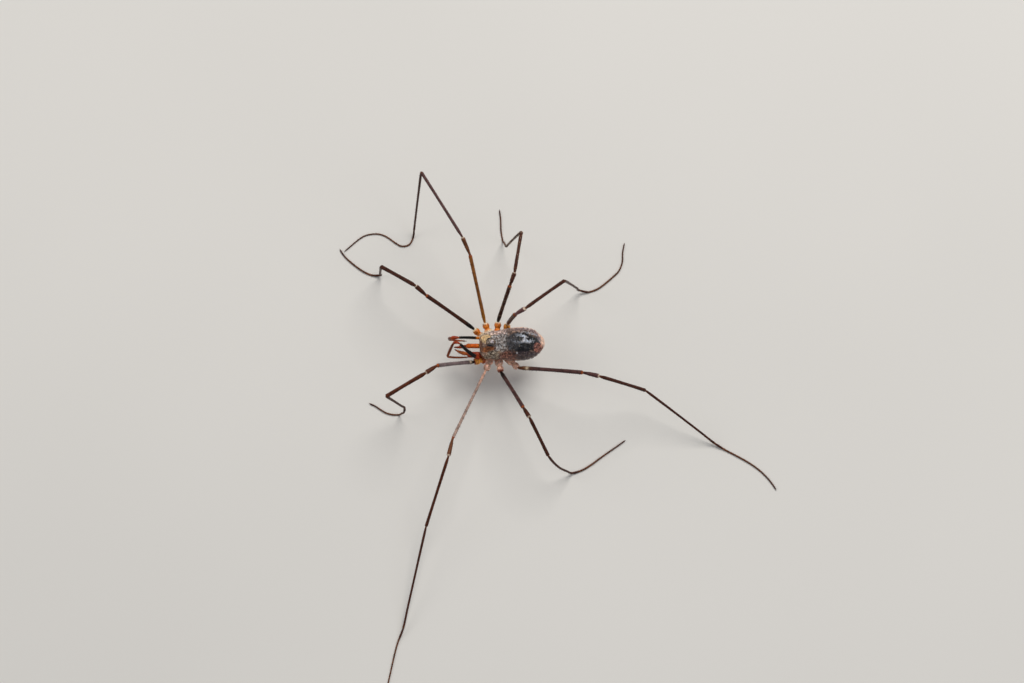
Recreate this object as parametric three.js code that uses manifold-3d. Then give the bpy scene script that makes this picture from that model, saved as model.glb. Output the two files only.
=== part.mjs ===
// A harvestman at life size, standing with its legs spread and its feet on the ground.
// Millimetres and degrees. It faces -X, its right side is towards +Y, and up is +Z.
import * as THREE from "three";
import { mergeVertices } from "three/addons/utils/BufferGeometryUtils.js";
import Module from "manifold-3d";

const wasm = await Module();
wasm.setup();

// Driving dimensions of the body.
// The middle of the hips in plan, chosen so that the whole animal is centred on the origin.
const bodyPlace = [-3.81, 8.82];
const bodyTurn = 3; // the head end points this much towards -Y
const bodyAside = -0.1; // how far the body lies towards +Y from the middle of the hips
const bodyLength = 5.5;
const bodyAxisHeight = 3.9;
// Half width, top and underside of the body at even places from front to rear, before the ends are rounded.
const bodyWidths = [1.4, 1.36, 1.33, 1.34, 1.42, 1.45, 1.45, 1.34, 0.85];
const bodyTops = [0.55, 0.75, 0.9, 1.0, 1.25, 1.4, 1.32, 1.05, 0.7];
const bodyUndersides = [0.4, 0.4, 0.38, 0.38, 0.6, 1.1, 1.2, 1.02, 0.62];
const roundFront = 0.36; // powers of a circle: the smaller, the blunter
const roundRear = 0.5;
const roundSides = 0.8;
const waist = -0.5; // where the front body meets the rear one, measured along the body from its middle
const waistGap = 0.3;
const grooveStart = 0.4; // the rear part's back is grooved from here on
const groovePitch = 0.46;
const grooveDepth = 0.05;
const moundPlace = [-1.75, 0.02, 4.95];
const moundSize = [0.46, 0.42, 0.42]; // half sizes of the eye mound
const eyeRadius = 0.2;
const eyeSpread = 0.34; // from the middle of the mound to each eye
const eyeForward = 0.04;
const eyeLift = 0.12;
const eyeGap = 0.06;

// Driving dimensions of the legs, by pair: femur, patella, tibia and metatarsus, then the tarsus.
const legLengths = {
  1: [5.5, 1.2, 4.0, 4.7],
  2: [7.3, 1.65, 6.8, 8.8],
  3: [4.6, 1.15, 3.7, 4.7],
  4: [6.5, 1.45, 5.2, 7.9],
};
const tarsusLengths = { 1: 4.3, 2: 7.7, 3: 5.3, 4: 6.5 };
const legRadii = { femur: 0.29, patella: 0.3, tibia: 0.27, metatarsus: 0.25, tarsus: 0.25 };
const bows = { femur: 0.12, patella: 0.05, tibia: 0.08, metatarsus: 0.12 }; // upward, at mid length
const hipHeight = 3.3;
const jointGap = 0.3;
const kneeShare = 0.85; // share of a limb's radius that is kept clear at a sharp bend
const kneeGap = 0.05;
const footAxis = 0.2; // height of the tarsus axis where it lies on the ground
const tipRadius = 0.1;
const leastStep = 0.45; // share of each stretch of the tarsus that leads forward, even where it comes down
const taperStart = 0.55; // share of the tarsus from which it tapers to its tip
const legSides = 8;
// Inner ends of the coxae: place of the first pair along the body, spacing, half the gap between the sides.
const coxaRoots = { first: -2.15, spacing: 0.44, apart: 0.5, middle: -0.12, height: 2.85 };
const coxaRadius = 0.34;
const palpRadius = 0.25;
const mouthSides = 10;

// Pose of each leg, measured from the body's middle.
// heading is the direction in plan of femur, patella, tibia and metatarsus, with 0 along +X and 90 along +Y.
// climb is their slope. toes are the headings of equal stretches of the tarsus, and the first `drop`
// of them come down to the ground.
const legs = {
  right_1: {
    hip: [-3.2, 1.35],
    heading: [151, 141, 145, 121],
    climb: [33, 21, -24.5, -84],
    toes: [174, 157, 146, 141, 136, 124],
    drop: 1,
  },
  right_2: {
    hip: [-2.3, 1.9],
    heading: [105, 115, 121, -105],
    climb: [50, 24, -5, -70],
    toes: [-101, -117, -168, 150, 144, 156, 178, -166, -146, -139, -138],
    drop: 1,
  },
  right_3: {
    hip: [-1.2, 2.0],
    heading: [65, 70, 81, -174.5],
    climb: [58, 10, -5, -74],
    toes: [105, 106, 104, 99, 92, 96],
    drop: 3,
  },
  right_4: {
    hip: [-0.35, 1.85],
    heading: [-50.5, 16, 42.5, 35.5],
    climb: [81.5, 53, -30.5, -77],
    toes: [-2, 20, 36, 41, 46, 69, 87, 80],
    drop: 1,
  },
  left_1: {
    hip: [-3.2, -1.5],
    heading: [-157, -144, -153, -1.5],
    climb: [53, 13, -21, -72.5],
    toes: [-105, 176, 168, 178, 165, 150, 146, 154],
    drop: 3,
  },
  left_2: {
    hip: [-2.2, -2.2],
    heading: [-113.5, -102, -110, -103],
    climb: [18, 14, -34, -11.5],
    toes: [-111, -104, -102, -102, -100, -96],
    drop: 1,
  },
  left_3: {
    hip: [-0.95, -2.35],
    heading: [-62, -61, -62, -17],
    climb: [29, 22, -24, -62.5],
    toes: [18, 31, 37, 36, 35, 36],
    drop: 1,
  },
  left_4: {
    hip: [0.5, -2.0],
    heading: [-12, -16, -7, -33],
    climb: [31, 14, -40, -24.5],
    toes: [-30, -28, -30, -36, -45, -55],
    drop: 1,
  },
};

// Pose of the mouthparts, as points from the body's middle with their height above the ground.
const palps = {
  right: {
    femur: [[-3.05, 0.5, 3.75], [-4.45, 0.3, 4.75]],
    tibia: [[-4.76, 0.35, 4.8], [-5.06, 0.37, 4.66], [-5.24, 0.38, 4.38], [-5.24, 0.37, 3.85]],
    tarsus: [[-5.15, 0.46, 3.5], [-4.75, 0.6, 3.0], [-4.0, 0.66, 2.55]],
  },
  left: {
    femur: [[-3.04, -1.22, 3.98], [-3.7, -0.86, 4.45], [-4.25, -0.42, 4.92]],
    tibia: [[-4.6, -0.33, 5.04], [-4.98, -0.38, 4.8], [-5.2, -0.62, 4.2], [-5.43, -0.98, 3.6]],
    tarsus: [[-5.42, -1.06, 3.2], [-4.6, -0.92, 2.25], [-3.65, -0.75, 1.65]],
  },
};
const chelicerae = {
  right: {
    base: [[-2.98, 0.0, 3.45], [-3.83, -0.02, 3.4]],
    hand: [[-4.02, -0.02, 3.05], [-4.95, 0.02, 2.25]],
  },
  left: {
    base: [[-3.02, -0.62, 3.5], [-3.78, -0.74, 3.42]],
    hand: [[-4.05, -0.76, 3.15], [-5.0, -0.52, 2.85]],
  },
};

const materials = {
  back: new THREE.MeshStandardMaterial({ color: 0x6d625a, roughness: 0.6, metalness: 0 }),
  hips: new THREE.MeshStandardMaterial({ color: 0xd9701e, roughness: 0.45, metalness: 0 }),
  eye: new THREE.MeshStandardMaterial({ color: 0x060506, roughness: 0.08, metalness: 0 }),
  mouthparts: new THREE.MeshStandardMaterial({ color: 0x9c3c14, roughness: 0.4, metalness: 0 }),
  palpFemur: new THREE.MeshStandardMaterial({ color: 0x17110e, roughness: 0.35, metalness: 0 }),
  legDark: new THREE.MeshStandardMaterial({ color: 0x241a15, roughness: 0.35, metalness: 0 }),
  legBrown: new THREE.MeshStandardMaterial({ color: 0x8a5526, roughness: 0.4, metalness: 0 }),
  legPale: new THREE.MeshStandardMaterial({ color: 0xc8a184, roughness: 0.45, metalness: 0 }),
  tarsus: new THREE.MeshStandardMaterial({ color: 0x5c3a22, roughness: 0.5, metalness: 0 }),
};

const radians = THREE.MathUtils.degToRad;
const vector = (point) => new THREE.Vector3(...point);

// A geometry as a closed solid, and a solid as a geometry.
function solidOf(geometry) {
  const bare = geometry.clone();
  bare.deleteAttribute("normal");
  bare.deleteAttribute("uv");
  const merged = mergeVertices(bare, 1e-5);
  return new wasm.Manifold(
    new wasm.Mesh({
      numProp: 3,
      vertProperties: merged.attributes.position.array,
      triVerts: new Uint32Array(merged.index.array),
    }),
  );
}

function geometryOf(solid) {
  const mesh = solid.getMesh();
  const geometry = new THREE.BufferGeometry();
  geometry.setAttribute("position", new THREE.BufferAttribute(mesh.vertProperties, 3));
  geometry.setIndex(new THREE.BufferAttribute(mesh.triVerts, 1));
  return geometry;
}

const scaled = (profile, radius) => profile.map(([place, share]) => [place, share * radius]);

function named(name, geometry, material) {
  geometry.computeVertexNormals();
  const mesh = new THREE.Mesh(geometry, material);
  mesh.name = name;
  return mesh;
}

// A turned limb along +Y, closed by flat discs. profile holds pairs of place along it, 0 to 1, and radius.
function turnedLimb(length, profile, sides) {
  const first = profile[0];
  const last = profile.at(-1);
  const outline = [
    new THREE.Vector2(0, first[0] * length),
    ...profile.map(([place, radius]) => new THREE.Vector2(radius, place * length)),
    new THREE.Vector2(0, last[0] * length),
  ];
  return new THREE.LatheGeometry(outline, sides);
}

// Moves every vertex of a turned limb from its straight axis to the curve, keeping it level sideways.
function bendTo(geometry, curve, length) {
  const position = geometry.attributes.position;
  const up = new THREE.Vector3(0, 0, 1);
  for (let i = 0; i < position.count; i++) {
    const t = THREE.MathUtils.clamp(position.getY(i) / length, 0, 1);
    const along = curve.getTangentAt(t);
    const side = new THREE.Vector3().crossVectors(up, along).normalize();
    const over = new THREE.Vector3().crossVectors(along, side);
    const point = curve.getPointAt(t);
    point.addScaledVector(over, position.getX(i));
    point.addScaledVector(side, position.getZ(i));
    position.setXYZ(i, point.x, point.y, point.z);
  }
  return geometry;
}

// Presses whatever lies below the ground up to it, which leaves a flat there.
function pressFlat(geometry) {
  const position = geometry.attributes.position;
  for (let i = 0; i < position.count; i++) {
    position.setZ(i, Math.max(0, position.getZ(i)));
  }
  return geometry;
}

// Profiles along the limbs, as pairs of place and share of the radius. The ends swell, their faces don't.
const tibiaProfile = [[0, 0.75], [0.06, 1], [0.4, 0.95], [0.8, 0.95], [0.95, 1], [1, 0.65]];
const legProfiles = {
  femur: [[0, 0.7], [0.04, 0.95], [0.3, 0.9], [0.7, 0.9], [0.95, 1], [1, 0.75]],
  patella: [[0, 0.75], [0.2, 0.95], [0.75, 1], [1, 0.75]],
  tibia: tibiaProfile,
  metatarsus: tibiaProfile,
};
const coxaProfile = [[0, 0.8], [0.1, 1], [0.5, 1], [0.7, 1], [0.78, 0.8], [0.88, 0.97], [1, 0.6]];
const palpProfiles = {
  femur: [[0, 0.7], [0.15, 1], [0.4, 1], [0.6, 1], [0.85, 1.05], [1, 0.75]],
  tibia: [[0, 0.75], [0.12, 1], [0.25, 1], [0.4, 1], [0.55, 1], [0.7, 1], [0.85, 1], [1, 0.75]],
  tarsus: [[0, 0.75], [0.1, 1], [0.3, 1], [0.5, 1], [0.7, 0.85], [0.9, 0.6], [1, 0.35]],
};
// Of the chelicerae, as pairs of place and radius.
const jawBaseProfile = [[0, 0.2], [0.15, 0.27], [0.6, 0.28], [0.9, 0.26], [1, 0.2]];
const palmProfile = [[0, 0.19], [0.15, 0.25], [0.4, 0.26], [0.65, 0.23], [0.85, 0.13], [1, 0.05]];
const fingerProfile = [[0, 0.14], [0.3, 0.15], [0.7, 0.1], [1, 0.04]];

// How far two limbs stop short of the joint between them, so that they meet without touching.
function standOff(before, after, radius) {
  const half = (Math.PI - before.angleTo(after)) / 2;
  return Math.max(jointGap / 2, (kneeShare * radius) / Math.tan(half) + kneeGap);
}

// The joints of a leg, from the hip to the end of the metatarsus.
function legJoints(pose, lengths) {
  const points = [new THREE.Vector3(...pose.hip, hipHeight)];
  lengths.forEach((length, i) => {
    const turn = radians(pose.heading[i]);
    const slope = radians(pose.climb[i]);
    const flat = length * Math.cos(slope);
    const step = new THREE.Vector3(flat * Math.cos(turn), flat * Math.sin(turn), length * Math.sin(slope));
    points.push(points[i].clone().add(step));
  });
  return points;
}

// The route of a tarsus from the end of its metatarsus, down to the ground and along it.
function tarsusRoute(start, pose, length) {
  const stretch = length / pose.toes.length;
  const points = [start];
  pose.toes.forEach((heading, i) => {
    const turn = radians(heading);
    const last = points.at(-1);
    const left = Math.max(0, 1 - (i + 1) / pose.drop);
    const height = footAxis + (start.z - footAxis) * left;
    const flat = Math.sqrt(Math.max((leastStep * stretch) ** 2, stretch ** 2 - (last.z - height) ** 2));
    points.push(new THREE.Vector3(last.x + flat * Math.cos(turn), last.y + flat * Math.sin(turn), height));
  });
  return new THREE.CatmullRomCurve3(points, false, "centripetal");
}

function limbMaterial(leg, piece) {
  if (piece === "tarsus") return materials.tarsus;
  if (leg === "left_2" && piece === "femur") return materials.legPale;
  if (leg === "right_2" && piece === "femur") return materials.legBrown;
  return materials.legDark;
}

// A coxa with its trochanter, from its inner end under the body to the hip.
function coxaLine(leg) {
  const [side, pair] = leg.split("_");
  const across = side === "right" ? 1 : -1;
  const along = coxaRoots.first + coxaRoots.spacing * (pair - 1);
  const root = new THREE.Vector3(along, across * coxaRoots.apart + coxaRoots.middle, coxaRoots.height);
  return new THREE.LineCurve3(root, new THREE.Vector3(...legs[leg].hip, hipHeight));
}

function legPieces(leg, pose) {
  const pair = leg.at(-1);
  const joints = legJoints(pose, legLengths[pair]);
  const directions = joints.slice(1).map((point, i) => point.clone().sub(joints[i]).normalize());
  const route = tarsusRoute(joints[4], pose, tarsusLengths[pair]);
  directions.push(route.getTangentAt(0.02));
  const pieces = ["femur", "patella", "tibia", "metatarsus"].map((piece, i) => {
    const radius = legRadii[piece];
    const before = i === 0 ? coxaLine(leg).getTangent(1) : directions[i - 1];
    const startGap = standOff(before, directions[i], radius);
    const endGap = standOff(directions[i], directions[i + 1], radius);
    const from = joints[i].clone().addScaledVector(directions[i], startGap);
    const to = joints[i + 1].clone().addScaledVector(directions[i], -endGap);
    const middle = from.clone().lerp(to, 0.5);
    middle.z += 2 * bows[piece];
    const curve = new THREE.QuadraticBezierCurve3(from, middle, to);
    const length = from.distanceTo(to);
    const limb = bendTo(turnedLimb(length, scaled(legProfiles[piece], radius), legSides), curve, length);
    return named(`leg_${leg}_${piece}`, limb, limbMaterial(leg, piece));
  });
  const length = route.getLength();
  const steps = 3 * pose.toes.length;
  const startGap = standOff(directions[3], directions[4], legRadii.tarsus) / length;
  const profile = Array.from({ length: steps + 1 }, (_, i) => {
    const place = startGap + (1 - startGap) * (i / steps);
    const taper = THREE.MathUtils.smoothstep(place, taperStart, 1);
    const neck = i === 0 ? tibiaProfile[0][1] : 1;
    return [place, neck * THREE.MathUtils.lerp(legRadii.tarsus, tipRadius, taper)];
  });
  const tarsus = pressFlat(bendTo(turnedLimb(length, profile, legSides), route, length));
  pieces.push(named(`leg_${leg}_tarsus`, tarsus, limbMaterial(leg, "tarsus")));
  return pieces;
}

// The four coxae of one side with their trochanters, joined where their inner ends run into each other.
function hipsOf(side) {
  const coxae = [1, 2, 3, 4].map((pair) => {
    const leg = `${side}_${pair}`;
    const line = coxaLine(leg);
    const outward = line.getTangent(1);
    const hip = legJoints(legs[leg], legLengths[pair]);
    const onward = hip[1].clone().sub(hip[0]);
    line.v2.addScaledVector(outward, -standOff(outward, onward, legRadii.femur));
    const length = line.getLength();
    return solidOf(bendTo(turnedLimb(length, scaled(coxaProfile, coxaRadius), mouthSides), line, length));
  });
  const joined = coxae.reduce((solid, coxa) => solid.add(coxa));
  return named(`hips_${side}`, geometryOf(joined), materials.hips);
}

// A smooth line through values at even places.
function smoothLine(values) {
  return new THREE.SplineCurve(values.map((value, i) => new THREE.Vector2(i, value)));
}

// The whole body as one closed form around its axis, with shallow grooves across the rear part's back.
function bodyForm() {
  const widths = smoothLine(bodyWidths);
  const tops = smoothLine(bodyTops);
  const undersides = smoothLine(bodyUndersides);
  const square = (value) => Math.sign(value) * Math.abs(value) ** roundSides;
  const form = new THREE.SphereGeometry(1, 24, 40);
  const position = form.attributes.position;
  for (let i = 0; i < position.count; i++) {
    const along = position.getY(i);
    const around = Math.atan2(position.getZ(i), position.getX(i));
    const place = (1 - along) / 2;
    const rearward = THREE.MathUtils.smoothstep(place, 0.25, 0.75);
    const power = THREE.MathUtils.lerp(roundFront, roundRear, rearward);
    const rounding = Math.sqrt(Math.max(0, 1 - along * along)) ** power;
    const x = (place - 0.5) * bodyLength;
    const ripple = Math.max(0, Math.cos((x * 2 * Math.PI) / groovePitch)) ** 4;
    const groove = x > grooveStart ? grooveDepth * ripple : 0;
    const upward = Math.sin(around) > 0 ? tops.getPoint(place).y - groove : undersides.getPoint(place).y;
    const y = rounding * (widths.getPoint(place).y - groove) * square(Math.cos(around));
    const z = bodyAxisHeight + rounding * upward * square(Math.sin(around));
    position.setXYZ(i, x, y, z);
  }
  return form;
}

function block(from, to) {
  const size = vector(to).sub(vector(from));
  const middle = vector(from).add(vector(to)).multiplyScalar(0.5);
  return new THREE.BoxGeometry(size.x, size.y, size.z).translate(middle.x, middle.y, middle.z);
}

function ball(centre, sizes, sides) {
  return new THREE.SphereGeometry(1, sides, sides / 2).scale(...sizes).translate(...centre);
}

function bodyPieces() {
  const whole = solidOf(bodyForm());
  const far = 2 * bodyLength;
  const front = whole.intersect(solidOf(block([-far, -far, -far], [waist - waistGap / 2, far, far])));
  const rear = whole.intersect(solidOf(block([waist + waistGap / 2, -far, -far], [far, far, far])));
  const mound = solidOf(ball(moundPlace, moundSize, 16));
  const eyeSides = { right: 1, left: -1 };
  let carapace = front.add(mound);
  const eyes = Object.entries(eyeSides).map(([side, across]) => {
    const [x, y, z] = moundPlace;
    const centre = [x - eyeForward, y + across * eyeSpread, z + eyeLift];
    const socket = eyeRadius + eyeGap;
    carapace = carapace.subtract(solidOf(ball(centre, [socket, socket, socket], 16)));
    const eye = ball(centre, [eyeRadius, eyeRadius, eyeRadius], 16);
    return named(`eye_${side}`, eye, materials.eye);
  });
  const group = new THREE.Group();
  group.rotation.z = radians(bodyTurn);
  group.position.y = bodyAside;
  group.add(named("prosoma", geometryOf(carapace), materials.back));
  group.add(named("opisthosoma", geometryOf(rear), materials.back));
  group.add(...eyes);
  return group;
}

// A bent limb through chosen points, for the mouthparts.
function mouthLimb(points, profile) {
  const curve = new THREE.CatmullRomCurve3(points.map(vector), false, "centripetal");
  const length = curve.getLength();
  return bendTo(turnedLimb(length, profile, mouthSides), curve, length);
}

function palpPieces(side) {
  return Object.entries(palpProfiles).map(([piece, profile]) => {
    const material = piece === "femur" ? materials.palpFemur : materials.mouthparts;
    const limb = mouthLimb(palps[side][piece], scaled(profile, palpRadius));
    return named(`palp_${side}_${piece}`, limb, material);
  });
}

// A chelicera: its base, then a hand with a fixed and a hinged finger.
function cheliceraPieces(side) {
  const base = mouthLimb(chelicerae[side].base, jawBaseProfile);
  const [root, tip] = chelicerae[side].hand;
  const palm = mouthLimb([root, tip], palmProfile);
  const split = vector(root).lerp(vector(tip), 0.5);
  const hinge = [split.x, split.y, split.z + 0.05];
  const claw = [tip[0] - 0.12, tip[1], tip[2] + 0.3];
  const finger = mouthLimb([hinge, claw], fingerProfile);
  return [
    named(`chelicera_${side}_base`, base, materials.mouthparts),
    named(`chelicera_${side}_hand`, geometryOf(solidOf(palm).add(solidOf(finger))), materials.mouthparts),
  ];
}

const animal = new THREE.Group();
animal.position.set(...bodyPlace, 0);
animal.add(bodyPieces());
for (const side of ["right", "left"]) {
  animal.add(hipsOf(side), ...palpPieces(side), ...cheliceraPieces(side));
}
for (const [leg, pose] of Object.entries(legs)) {
  animal.add(...legPieces(leg, pose));
}

const model = new THREE.Group();
model.add(animal);
export default model;
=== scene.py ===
import math
import random
import bmesh
import bpy
import numpy as np
from mathutils import Matrix, Vector, noise


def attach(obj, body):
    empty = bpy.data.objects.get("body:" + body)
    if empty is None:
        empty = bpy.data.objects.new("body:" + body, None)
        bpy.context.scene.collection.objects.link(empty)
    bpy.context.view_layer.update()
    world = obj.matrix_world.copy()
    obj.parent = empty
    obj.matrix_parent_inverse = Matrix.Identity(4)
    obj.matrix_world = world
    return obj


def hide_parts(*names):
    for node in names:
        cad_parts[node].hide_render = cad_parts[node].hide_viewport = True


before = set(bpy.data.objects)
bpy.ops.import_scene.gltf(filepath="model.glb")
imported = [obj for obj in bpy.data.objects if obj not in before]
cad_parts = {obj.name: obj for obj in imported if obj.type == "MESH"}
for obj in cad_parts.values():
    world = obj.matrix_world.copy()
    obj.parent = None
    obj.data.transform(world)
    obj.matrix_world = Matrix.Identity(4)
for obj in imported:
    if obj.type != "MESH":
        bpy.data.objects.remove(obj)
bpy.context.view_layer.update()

# Shapes are worked out in millimetres and angles in degrees, and each finished piece is scaled to metres.
# The animal faces -X and its right side is towards +Y.
millimetre = 0.001
bodyPlace = Vector((-3.81, 8.82, 0))  # the middle of the hips in plan, as in the solids
hipHeight = 3.3
up = Vector((0, 0, 1))

# Linear colours of the hide.
tones = {
    "black": (0.008, 0.006, 0.006),
    "dark": (0.062, 0.017, 0.009),
    "brown": (0.13, 0.045, 0.018),
    "redBrown": (0.20, 0.036, 0.011),
    "rust": (0.36, 0.085, 0.016),
    "golden": (0.44, 0.175, 0.028),
    "amber": (0.30, 0.105, 0.022),
    "orange": (0.70, 0.20, 0.018),
    "yellow": (0.74, 0.30, 0.045),
    "salmon": (0.64, 0.37, 0.27),
    "ring": (0.62, 0.47, 0.36),
    "cream": (0.80, 0.64, 0.44),
    "tan": (0.40, 0.27, 0.22),
    "mauve": (0.18, 0.13, 0.13),
    "purple": (0.15, 0.055, 0.055),
    "plum": (0.085, 0.036, 0.033),
    "chestnut": (0.095, 0.024, 0.010),
    "jawRed": (0.33, 0.040, 0.008),
    "jawOrange": (0.68, 0.125, 0.012),
}


# Camera

camera = {
    "tilt": 13.0,  # from looking straight down, towards -Y
    "distance": 341.0,
    "lens": 141.7,
    "lookHeight": 3.7,
    "aimRise": 0.19,  # the body's middle lies this much below the middle of the picture
}


def makeCamera():
    tilt = math.radians(camera["tilt"])
    back = Vector((0, -math.sin(tilt), math.cos(tilt)))
    upward = Vector((0, math.cos(tilt), math.sin(tilt)))
    look = bodyPlace + up * camera["lookHeight"] + upward * camera["aimRise"]
    data = bpy.data.cameras.new("photoCamera")
    data.lens = camera["lens"]
    data.sensor_width = 36
    data.clip_start = 0.01
    data.clip_end = 10
    thing = bpy.data.objects.new("photoCamera", data)
    thing.rotation_mode = "QUATERNION"
    thing.location = (look + back * camera["distance"]) * millimetre
    thing.rotation_quaternion = (-back).to_track_quat("-Z", "Y")
    bpy.context.collection.objects.link(thing)
    bpy.context.scene.camera = thing
    bpy.context.scene.view_settings.view_transform = "Standard"
    print("camera set")


# Light and floor

studio = {
    "sky": (0.86, 0.90, 0.97),
    "skyStrength": 0.2,
    "lamps": [
        # place from the middle of the scene, size, watts, colour
        {"place": (75, 195, 320), "size": 230, "watts": 0.95, "colour": (1.0, 0.97, 0.93)},
        {"place": (240, -140, 260), "size": 220, "watts": 0.16, "colour": (0.92, 0.95, 1.0)},
        {"place": (-260, 60, 200), "size": 180, "watts": 0.16, "colour": (1.0, 0.98, 0.95)},
    ],
    "floorSide": 2.4,  # metres
    "floorColour": (0.80, 0.78, 0.74),
    "floorShade": 0.96,  # how far its darker patches go down
    "floorRoughness": 0.7,
}


def makeStudio():
    world = bpy.data.worlds.new("studioSky")
    world.use_nodes = True
    sky = world.node_tree.nodes["Background"]
    sky.inputs["Color"].default_value = (*studio["sky"], 1)
    sky.inputs["Strength"].default_value = studio["skyStrength"]
    bpy.context.scene.world = world
    for number, lamp in enumerate(studio["lamps"]):
        data = bpy.data.lights.new(f"softLamp{number}", "AREA")
        data.shape = "DISK"
        data.size = lamp["size"] * millimetre
        data.energy = lamp["watts"]
        data.color = lamp["colour"]
        thing = bpy.data.objects.new(f"softLamp{number}", data)
        place = Vector(lamp["place"])
        thing.location = place * millimetre
        thing.rotation_mode = "QUATERNION"
        thing.rotation_quaternion = (-place).to_track_quat("-Z", "Y")
        bpy.context.collection.objects.link(thing)
    bm = bmesh.new()
    bmesh.ops.create_grid(bm, x_segments=1, y_segments=1, size=studio["floorSide"] / 2)
    mesh = toMesh(bm, "floor")
    floor = bpy.data.objects.new("floor", mesh)
    bpy.context.collection.objects.link(floor)
    mesh.materials.append(floorMaterial())
    print("studio set")


# Materials

def newMaterial(name):
    material = bpy.data.materials.new(name)
    material.use_nodes = True
    return material, material.node_tree, material.node_tree.nodes["Principled BSDF"]


def addNode(tree, kind, **values):
    node = tree.nodes.new(kind)
    for name, value in values.items():
        if hasattr(node, name):
            setattr(node, name, value)
        else:
            node.inputs[name.replace("_", " ")].default_value = value
    return node


def millimetreCoords(tree):
    place = addNode(tree, "ShaderNodeTexCoord")
    scaled = addNode(tree, "ShaderNodeMapping")
    scaled.inputs["Scale"].default_value = [1 / millimetre] * 3
    tree.links.new(place.outputs["Object"], scaled.inputs["Vector"])
    return scaled.outputs["Vector"]


def addNoise(tree, coords, scale, detail=3, rough=0.5):
    node = addNode(tree, "ShaderNodeTexNoise", Scale=scale, Detail=detail, Roughness=rough)
    tree.links.new(coords, node.inputs["Vector"])
    return node.outputs["Fac"]


def addRamp(tree, factor, stops):
    node = tree.nodes.new("ShaderNodeValToRGB")
    ramp = node.color_ramp
    while len(ramp.elements) < len(stops):
        ramp.elements.new(0.5)
    for element, (place, colour) in zip(ramp.elements, stops):
        element.position = place
        element.color = (*colour, 1)
    tree.links.new(factor, node.inputs["Fac"])
    return node.outputs["Color"]


def mixColours(tree, factor, first, second, blend="MIX"):
    node = tree.nodes.new("ShaderNodeMix")
    node.data_type = "RGBA"
    node.blend_type = blend
    for socket, value in ((node.inputs[0], factor), (node.inputs[6], first), (node.inputs[7], second)):
        if isinstance(value, bpy.types.NodeSocket):
            tree.links.new(value, socket)
        elif isinstance(value, tuple):
            socket.default_value = (*value, 1)
        else:
            socket.default_value = value
    return node.outputs[2]


def addMath(tree, operation, first, second):
    node = tree.nodes.new("ShaderNodeMath")
    node.operation = operation
    for socket, value in zip(node.inputs, (first, second)):
        if isinstance(value, bpy.types.NodeSocket):
            tree.links.new(value, socket)
        else:
            socket.default_value = value
    return node.outputs[0]


def mapRange(tree, value, low, high, toLow=0.0, toHigh=1.0):
    node = tree.nodes.new("ShaderNodeMapRange")
    node.inputs["From Min"].default_value = low
    node.inputs["From Max"].default_value = high
    node.inputs["To Min"].default_value = toLow
    node.inputs["To Max"].default_value = toHigh
    tree.links.new(value, node.inputs["Value"])
    return node.outputs["Result"]


def addBump(tree, shader, height, distance):
    node = addNode(tree, "ShaderNodeBump", Distance=distance * millimetre)
    tree.links.new(height, node.inputs["Height"])
    tree.links.new(node.outputs["Normal"], shader.inputs["Normal"])


def floorMaterial():
    material, tree, shader = newMaterial("paleFloor")
    coords = millimetreCoords(tree)
    soft = addNoise(tree, coords, 0.02, 2)
    pale = studio["floorColour"]
    shade = tuple(studio["floorShade"] * c for c in pale)
    tree.links.new(addRamp(tree, soft, [(0.3, shade), (0.7, pale)]), shader.inputs["Base Color"])
    shader.inputs["Roughness"].default_value = studio["floorRoughness"]
    return material


# Finishes of the limbs: grain is the scale of the specks, mottle how strong blotches and specks are, depth
# how deep the specks are, shine the specular level and glow the share of light that passes under the skin.
hides = {
    "legHide": {"roughness": 0.36, "grain": 16, "mottle": 0.45, "depth": 0.012, "shine": 0.16, "glow": 0.0},
    "hipHide": {"roughness": 0.36, "grain": 8, "mottle": 0.65, "depth": 0.02, "shine": 0.4, "glow": 0.25},
    "jawHide": {"roughness": 0.32, "grain": 14, "mottle": 0.4, "depth": 0.01, "shine": 0.22, "glow": 0.0},
    "spineHide": {"roughness": 0.45, "grain": 30, "mottle": 0.2, "depth": 0.004, "shine": 0.3, "glow": 0.0},
}
blotchScale = 3.2
speckShare = 0.6  # how strong specks are beside blotches
glowReach = 0.12


# Hide with its colour in the piece's own tone attribute, mottled and grained by noise.
def toneMaterial(name):
    hide = hides[name]
    material, tree, shader = newMaterial(name)
    coords = millimetreCoords(tree)
    tone = addNode(tree, "ShaderNodeVertexColor", layer_name="tone")
    blotches = addNoise(tree, coords, blotchScale, 4, 0.6)
    specks = addNoise(tree, coords, hide["grain"], 3, 0.6)
    broad, small = hide["mottle"], speckShare * hide["mottle"]
    light = addRamp(tree, blotches, [(0.32, (1 - broad,) * 3), (0.68, (1 + broad,) * 3)])
    fine = addRamp(tree, specks, [(0.35, (1 - small,) * 3), (0.65, (1 + small,) * 3)])
    colour = mixColours(tree, 1.0, tone.outputs["Color"], light, "MULTIPLY")
    colour = mixColours(tree, 1.0, colour, fine, "MULTIPLY")
    tree.links.new(colour, shader.inputs["Base Color"])
    rough = mapRange(tree, specks, 0.3, 0.7, hide["roughness"] - 0.06, hide["roughness"] + 0.12)
    tree.links.new(rough, shader.inputs["Roughness"])
    shader.inputs["Specular IOR Level"].default_value = hide["shine"]
    if hide["glow"]:
        shader.inputs["Subsurface Weight"].default_value = hide["glow"]
        shader.inputs["Subsurface Radius"].default_value = (1.0, 0.4, 0.15)
        shader.inputs["Subsurface Scale"].default_value = glowReach * millimetre
    addBump(tree, shader, specks, hide["depth"])
    return material


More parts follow.
